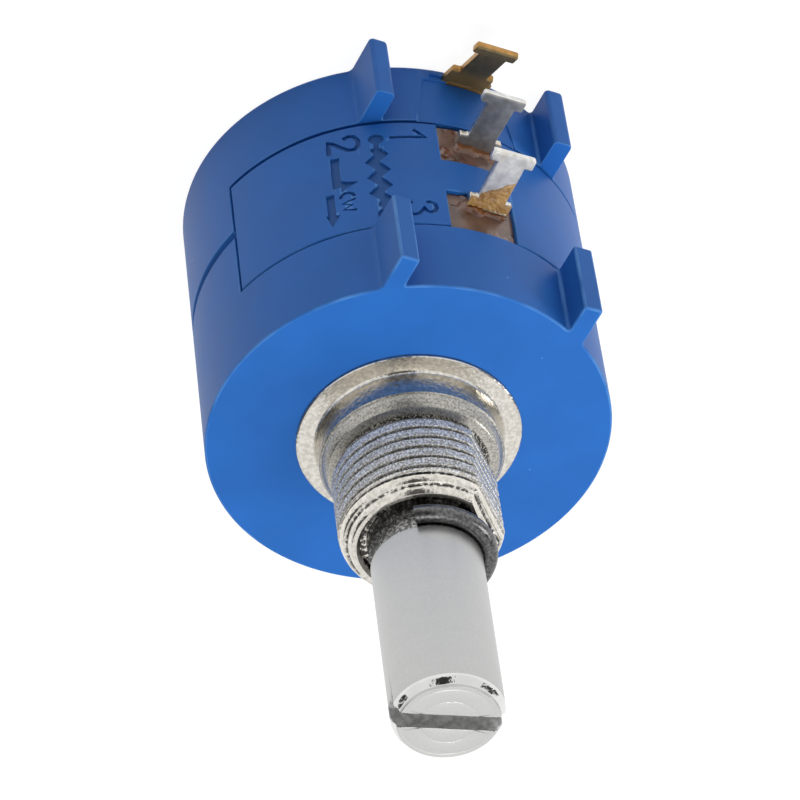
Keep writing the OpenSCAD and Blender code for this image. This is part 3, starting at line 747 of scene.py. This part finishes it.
def flux_film(name, lug, finish, slant, depth):
    """A lumpy film of flux on the foot of a lug's front face, thin at its rim."""
    front = max((f for f in lug.faces if f.normal.z > 0.5), key=lambda f: f.calc_area())
    across = Vector((0, 1, 0))
    along = across.cross(front.normal).normalized()
    centre = front.calc_center_median()
    centre.y = -0.3
    film = blank_grid(60, 64, film_high - film_low + 1.6, 2.5, ((film_low + film_high) / 2, 0), -0.2)
    thick = film.verts.layers.float.new("thick")
    for vert in film.verts:
        x, y = vert.co.x, vert.co.y
        half_width = 1.22 if x < body_r + 0.6 else 0.8
        edge = film_high - slant * y + 0.25 * noise.noise(Vector((1.8 * x, 1.8 * y, film_low)))
        vert[thick] = min((half_width - abs(y)) / 0.18, (edge - x) / 0.3, (x - film_low) / 0.1)
    bmesh.ops.delete(film, geom=[v for v in film.verts if v[thick] < -0.1], context="VERTS")
    for vert in extrude(film, 0):
        x, y = vert.co.x, vert.co.y
        lump = (1 + 0.8 * noise.noise(Vector((3.5 * x, 3.5 * y, film_high)))
                + 0.9 * noise.noise(Vector((7 * x, 7 * y, 0))))
        vert.co.z = -0.03 + (0.03 + depth * lump) * math.sqrt(min(1, max(0, vert[thick])))
    place = Matrix((along / along.x, across, front.normal)).transposed()
    for vert in film.verts:
        vert.co = centre + place @ (vert.co - Vector((centre.x, 0, 0)))
    new_piece(name, film, [finish], "housing", [], 60, False)


for number, flat_finish, edge_finish, slot, film in (
    (1, dull_tin, tin_edge_highlight, "tinned_lug", None),
    (2, old_brass, brass_edge_highlight, "bare_lug", (brown_flux, 0.12, 0.03)),
    (3, bright_tin, tin_edge_highlight, "tinned_lug", (golden_flux, 0.75, 0.085)),
):
    lug = from_node(f"terminal_{number}")
    if film:
        flux_film(f"flux_{number}", lug, *film)
    flats = [face for face in lug.faces if abs(face.normal.z) > 0.5]
    sheet = max(flats, key=lambda f: f.calc_area()).normal.copy()
    bevel_sharp(lug, 0.11, 3, lambda p: p.x > body_r - 0.5, 20)
    # edge faces take the paler edge finish, a painted highlight
    for face in lug.faces:
        face.material_index = 0 if abs(face.normal.dot(sheet)) > 0.6 else 1
    new_piece(f"lug_{number}", lug, [flat_finish, edge_finish], "housing", [f"terminal_{number}"],
              40)

# ---------------------------------------------------------------------------
# Bushing. Turned brass with a bright nickel plate: a thin flange, a seat, a
# relief and a coarse-edged M9 thread that runs on over the milled flat.
# ---------------------------------------------------------------------------
thread_r = 4.5
thread_step = 0.735
thread_turns = 6.1
thread_start = 2.655
turn_steps = 72
seat_r = 5.1
flange_r = 6.15
nose_z = 8.2
flat_turn = math.radians(-45)
flat_x = 3.96


def turned_metal(name, color, roughness, ring_scale, ring_depth, grain_scale, grain_depth,
                 metallic=1.0, mottle=0.03):
    """Turned metal: fine rings round Z, a grain over them, and a near-black painted shade, broken by
    the grain, where the piece marks it.
    """
    material, tree, shader, place = new_finish(name)
    axis = add_node(tree, "ShaderNodeSeparateXYZ")
    flat = add_node(tree, "ShaderNodeCombineXYZ")
    radius = add_node(tree, "ShaderNodeVectorMath", operation="LENGTH")
    ring_at = add_node(tree, "ShaderNodeCombineXYZ")
    rings = add_node(tree, "ShaderNodeTexNoise", {"Scale": ring_scale, "Detail": 3})
    grain = add_node(tree, "ShaderNodeTexNoise", {"Scale": grain_scale, "Detail": 4})
    cut = add_node(tree, "ShaderNodeBump", {"Strength": 1, "Distance": ring_depth})
    pitted = add_node(tree, "ShaderNodeBump", {"Strength": 1, "Distance": grain_depth})
    rough = add_node(tree, "ShaderNodeMapRange", {
        "To Min": max(0.02, roughness - 0.06), "To Max": roughness + 0.08})
    both = add_node(tree, "ShaderNodeMath", {1: 0.3}, operation="MULTIPLY_ADD")
    tone = add_node(tree, "ShaderNodeMapRange", {"From Min": 0.52, "From Max": 0.78})
    shades = add_node(tree, "ShaderNodeMix", {
        "A": (*tinted(color, 1 - mottle), 1), "B": (*tinted(color, 1 + mottle), 1),
    }, data_type="RGBA")
    # painted shade: a near-black colour mixed in where the piece's attribute marks it
    painted_shade = add_node(tree, "ShaderNodeAttribute", attribute_name="painted_shade")
    broken = add_node(tree, "ShaderNodeMapRange", {"From Min": 0.62, "From Max": 0.48})
    shade_amount = add_node(tree, "ShaderNodeMath", operation="MULTIPLY")
    shaded_color = add_node(tree, "ShaderNodeMix", {"B": (0.05, 0.048, 0.045, 1)}, data_type="RGBA")
    join(tree,
         (place, axis.inputs["Vector"]),
         (place, grain.inputs["Vector"]),
         (axis.outputs["X"], flat.inputs["X"]),
         (axis.outputs["Y"], flat.inputs["Y"]),
         (flat.outputs["Vector"], radius.inputs[0]),
         (radius.outputs["Value"], ring_at.inputs["X"]),
         (axis.outputs["Z"], ring_at.inputs["Z"]),
         (ring_at.outputs["Vector"], rings.inputs["Vector"]),
         (rings.outputs["Fac"], cut.inputs["Height"]),
         (grain.outputs["Fac"], pitted.inputs["Height"]),
         (cut.outputs["Normal"], pitted.inputs["Normal"]),
         (pitted.outputs["Normal"], shader.inputs["Normal"]),
         (grain.outputs["Fac"], rough.inputs["Value"]),
         (rough.outputs["Result"], shader.inputs["Roughness"]),
         (rings.outputs["Fac"], both.inputs[0]),
         (grain.outputs["Fac"], both.inputs[2]),
         (both.outputs[0], tone.inputs["Value"]),
         (tone.outputs["Result"], shades.inputs["Factor"]),
         (painted_shade.outputs["Fac"], shade_amount.inputs[0]),
         (grain.outputs["Fac"], broken.inputs["Value"]),
         (broken.outputs["Result"], shade_amount.inputs[1]),
         (shade_amount.outputs[0], shaded_color.inputs["Factor"]),
         (shades.outputs["Result"], shaded_color.inputs["A"]),
         (shaded_color.outputs["Result"], shader.inputs["Base Color"]))
    shader.inputs["Metallic"].default_value = metallic
    return material


# finish: colour, roughness, scale and depth of the rings, then of the grain, metallic, mottle
bright_nickel = turned_metal(
    "bright_nickel", (0.72, 0.69, 0.63), 0.12, 9000, 0.000004, 4200, 0.000024, 0.9, 0.14)
thread_nickel = turned_metal(
    "thread_nickel", (0.91, 0.81, 0.61), 0.40, 9000, 0.000006, 8800, 0.00004, 0.6, 0.6)
satin_nickel = turned_metal(
    "satin_nickel", (0.44, 0.425, 0.385), 0.30, 7000, 0.000012, 8800, 0.000016, 0.85, 0.34)
seat_nickel = turned_metal(
    "seat_nickel", (0.56, 0.515, 0.43), 0.17, 9000, 0.000004, 4200, 0.000030, 0.85, 0.20)
nickels = [bright_nickel, thread_nickel, satin_nickel, seat_nickel]

bushing = turned([
    # the end inside the housing, then the flange
    (3.03, -2.0), (4.8, -2.0), (4.8, -1.5), (seat_r, -1.5), (seat_r, -0.08),
    (flange_r - 0.04, -0.08), (flange_r, -0.04), (flange_r, 0.12), (flange_r - 0.05, 0.16),
    # the seat, its shoulder and the relief
    (seat_r + 0.5, 0.16), (seat_r + 0.12, 0.22), (seat_r + 0.03, 0.34), (seat_r, 0.5),
    (seat_r - 0.06, 1.70), (seat_r - 0.12, 1.78), (4.92, 1.79), (4.70, 2.32), (4.62, 2.40),
    (4.16, 2.46), (4.1, 2.5), (4.1, 2.85), (4.15, 2.9), (4.42, 3.08),
    # the thread, in lengths that the flat can bend
    (thread_r, 3.18), (thread_r, 4.2), (thread_r, 5.4), (thread_r, 6.6), (thread_r, 7.05),
    # the nose with its two rings, and the bore
    (4.47, 7.12), (4.28, 7.17), (4.28, 7.30), (4.43, 7.34), (4.36, 7.55), (4.28, 7.70),
    (4.22, 7.74), (4.10, 7.75), (4.05, 7.80), (4.03, 7.90), (3.90, 8.12), (3.84, nose_z),
    (3.60, nose_z), (3.47, 8.06), (3.40, 7.98), (3.40, 7.7), (3.03, 7.7)])
groove = bmesh.new()                     # a vee, swept along the thread's helix
vee = [groove.verts.new((r, 0, thread_start + rise))
       for r, rise in ((4.86, -0.20), (4.20, -0.05), (4.20, 0.05), (4.86, 0.20))]
vee_face = groove.faces.new(vee)
bmesh.ops.spin(groove, geom=[vee_face] + vee_face.edges[:] + vee, cent=(0, 0, 0), axis=(0, 0, 1),
               dvec=(0, 0, thread_step / turn_steps), angle=2 * math.pi * thread_turns,
               steps=round(turn_steps * thread_turns), use_merge=False, use_duplicate=False)
bmesh.ops.remove_doubles(groove, verts=groove.verts, dist=merged)
rotate(groove, math.radians(-200), "Z")
bushing = carve(bushing, groove)

# painted shade in the hollows: the thread's valleys, the ring's groove, the bore and the relief
painted_shade = bushing.verts.layers.float.new("painted_shade")
for vert in bushing.verts:
    radius, z = math.hypot(vert.co.x, vert.co.y), vert.co.z
    in_ring = 7.745 < z < 7.85 and 3.9 < radius < 4.15
    in_bore = z < 8.02 and radius < 3.45
    in_relief = 2.47 < z < 2.95 and radius < 4.2
    if 3.2 < z < 7.32 and 3.9 < radius:
        vert[painted_shade] = min(1, max(0, (thread_r - radius) / 0.2))
    elif in_ring or in_bore or in_relief:
        vert[painted_shade] = 1
for vert in bushing.verts:               # the milled flat, pressed in so that the thread runs on
    spot = Vector((vert.co.x, vert.co.y))
    turn = math.atan2(spot.y, spot.x) - flat_turn
    if vert.co.z > 2.66 and spot.length > 3.6 and math.cos(turn) > 0.5:
        allowed = min(thread_r, flat_x / math.cos(turn))
        spot *= (spot.length - thread_r + allowed) / spot.length
        vert.co.x, vert.co.y = spot
bevel_sharp(bushing, 0.02, 1, lambda p: p.z > 3.1 and math.hypot(p.x, p.y) > 3.8, 30)
for face in bushing.faces:
    middle = face.calc_center_median()
    if math.hypot(middle.x, middle.y) > 3.8 and 0.3 < middle.z < 7.1:
        finish = seat_nickel if middle.z < 1.72 else satin_nickel if middle.z < 3.0 else thread_nickel
        face.material_index = nickels.index(finish)
new_piece("threaded_bushing", bushing, nickels, "housing", ["bushing"], 30)

# ---------------------------------------------------------------------------
# Shaft. Turned and ground steel, dull plated, with a chamfered end, a
# screwdriver slot and the faint rings that facing the end has left.
# ---------------------------------------------------------------------------
satin_steel = turned_metal(
    "satin_steel", (0.52, 0.52, 0.515), 0.34, 2500, 0.0000003, 7000, 0.0000015)
# the chamfer and the slot's edges are burnished, and their lighter colour adds a painted highlight
burnished_highlight_steel = turned_metal(
    "burnished_highlight_steel", (0.72, 0.72, 0.715), 0.08, 2500, 0.0000003, 1100, 0.00009)
milled_steel = turned_metal(
    "milled_steel", (0.50, 0.50, 0.495), 0.40, 2500, 0.0000003, 3000, 0.00002, 0.6, 0.25)
faced_steel = turned_metal(
    "faced_steel", (0.66, 0.66, 0.65), 0.34, 2500, 0.0000003, 7000, 0.0000015)
steels = [satin_steel, burnished_highlight_steel, milled_steel, faced_steel]
shaft_r = 3.0
shaft_end = 21.0
ring_cut = shaft_end - 0.015
slot_half = 0.5
slot_floor = shaft_end - 1.3
slot_turn = math.radians(-75)

shaft = turned([
    # the journal in the rear bearing
    (0, -17.6), (1.4, -17.6), (1.5, -17.5), (1.5, -16.3), (shaft_r, -16.3),
    # the groove for the retaining ring
    (shaft_r, 8.7), (2.82, 8.7), (2.82, 9.7), (shaft_r, 9.7), (shaft_r, 9.8),
    # the spindle, its chamfer and the rings on its end
    (shaft_r, 14), (shaft_r, 18), (shaft_r, 20.36), (2.98, 20.44), (2.92, 20.60), (2.74, 20.80),
    (2.72, 20.86), (2.69, 20.97), (2.65, shaft_end), (2.46, shaft_end), (2.42, ring_cut),
    (2.38, shaft_end), (1.55, shaft_end), (1.51, ring_cut), (1.47, shaft_end), (0, shaft_end)])
slot = box((-4, -slot_half, slot_floor), (4, slot_half, shaft_end + 1))
rotate(slot, slot_turn, "Z")
shaft = carve(shaft, slot)


def off_slot(point):
    """Distance from the middle plane of the screwdriver slot."""
    return abs(point.y * math.cos(slot_turn) - point.x * math.sin(slot_turn))


bevel_sharp(shaft, 0.05, 2, lambda p: p.z > slot_floor - 0.1 and off_slot(p) < 0.6, 50)
# painted shade on the shaft where it runs into the bushing and past the wire ring
painted_shade = shaft.verts.layers.float.new("painted_shade")
for vert in shaft.verts:
    vert[painted_shade] = 0.8 if 7 < vert.co.z < 9.75 else 0
for face in shaft.faces:
    middle = face.calc_center_median()
    on_end = middle.z > shaft_end - 0.06
    if middle.z > slot_floor - 0.02 and off_slot(middle) < slot_half + 0.005:
        finish = milled_steel
    elif 20.4 < middle.z < 20.9 or on_end and slot_half + 0.005 < off_slot(middle) < slot_half + 0.06:
        finish = burnished_highlight_steel
    else:
        finish = faced_steel if on_end else satin_steel
    face.material_index = steels.index(finish)
new_piece("slotted_shaft", shaft, steels, "rotor_body", ["shaft"], 25)

# ---------------------------------------------------------------------------
# Retaining ring. Dark spring wire bent round the shaft in a shallow groove;
# it keeps the shaft from sliding into the bushing.
# ---------------------------------------------------------------------------
wire_r = 0.5
ring_r = 2.85 + wire_r
ring_z = 9.2
ring_sweep = 230                         # degrees of the shaft that the wire goes round
dark_wire = turned_metal("dark_wire", (0.14, 0.14, 0.14), 0.3, 3000, 0.000002, 6000, 0.00001, 1.0, 0.4)
ring = bmesh.new()
bmesh.ops.create_circle(ring, cap_ends=True, segments=24, radius=wire_r)
rotate(ring, math.pi / 2, "X")
bmesh.ops.translate(ring, verts=ring.verts, vec=(ring_r, 0, ring_z))
bmesh.ops.spin(ring, geom=ring.verts[:] + ring.edges[:] + ring.faces[:], cent=(0, 0, 0),
               axis=(0, 0, 1), dvec=(0, 0, 0), angle=math.radians(ring_sweep),
               steps=ring_sweep // 2, use_merge=False, use_duplicate=False)
rotate(ring, math.radians(-195), "Z")
new_piece("wire_ring", ring, [dark_wire], "rotor_body", ["retaining_ring"], 40)


# ---------------------------------------------------------------------------
# Inner works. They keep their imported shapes: the element's winding, sprung
# contacts of a gold-coloured alloy, and mouldings in ivory nylon and white acetal.
# ---------------------------------------------------------------------------
def wound_wire(name, color, turns, depth):
    """Fine wire wound side by side on the element's core: a painted highlight on each turn's crown and
    painted shade between the turns.
    """
    material, tree, shader, place = new_finish(name)
    axis = add_node(tree, "ShaderNodeSeparateXYZ")
    turn = add_node(tree, "ShaderNodeMath", operation="ARCTAN2")
    count = add_node(tree, "ShaderNodeMath", {1: turns}, operation="MULTIPLY")
    crown = add_node(tree, "ShaderNodeMath", operation="SINE")
    tone = add_node(tree, "ShaderNodeMapRange", {"From Min": -1})
    # painted highlight on the crowns, painted shade between the turns
    shades = add_node(tree, "ShaderNodeMix", {
        "A": (*tinted(color, 0.45), 1), "B": (*color, 1)}, data_type="RGBA")
    bump = add_node(tree, "ShaderNodeBump", {"Strength": 0.6, "Distance": depth})
    join(tree,
         (place, axis.inputs["Vector"]),
         (axis.outputs["Y"], turn.inputs[0]),
         (axis.outputs["X"], turn.inputs[1]),
         (turn.outputs[0], count.inputs[0]),
         (count.outputs[0], crown.inputs[0]),
         (crown.outputs[0], tone.inputs["Value"]),
         (tone.outputs["Result"], shades.inputs["Factor"]),
         (shades.outputs["Result"], shader.inputs["Base Color"]),
         (crown.outputs[0], bump.inputs["Height"]),
         (bump.outputs["Normal"], shader.inputs["Normal"]))
    shader.inputs["Metallic"].default_value = 1
    shader.inputs["Roughness"].default_value = 0.35
    return material


element_wire = wound_wire("wound_wire", (0.50, 0.42, 0.35), 900, 0.00002)
contact_alloy = sheet_metal("contact_alloy", (0.80, 0.62, 0.28), (0.62, 0.45, 0.18), 14, 2, 0.28)
spring_band = sheet_metal("spring_band", (0.34, 0.34, 0.35), (0.26, 0.24, 0.22), 14, 2, 0.35)
washer_steel = turned_metal("washer_steel", (0.58, 0.58, 0.57), 0.3, 6000, 0.000004, 5000, 0.000004)
sintered_bronze = turned_metal(
    "sintered_bronze", (0.52, 0.34, 0.17), 0.5, 5000, 0.000003, 9000, 0.00002, 1.0, 0.3)
ivory_nylon = moulded_plastic("ivory_nylon", (0.78, 0.74, 0.62), (0.88, 0.85, 0.76), 0.5)
white_acetal = moulded_plastic("white_acetal", (0.82, 0.82, 0.80), (0.90, 0.90, 0.88), 0.4)
for finish, names in (
    (element_wire, ("resistance_element",)),
    (bright_tin, ("end_clip_1", "end_clip_3")),
    (spring_band, ("lock_washer",)),
    (washer_steel, ("thrust_washer",)),
    (sintered_bronze, ("rear_bearing",)),
    (contact_alloy, ("slip_ring_brush", "brush_rivet", "collector_rail", "slip_ring",
                     "wiper_contact", "collector_brush")),
    (ivory_nylon, ("rotor",)),
    (white_acetal, ("wiper_carriage",)),
):
    for name in names:
        finish_node(name, finish)
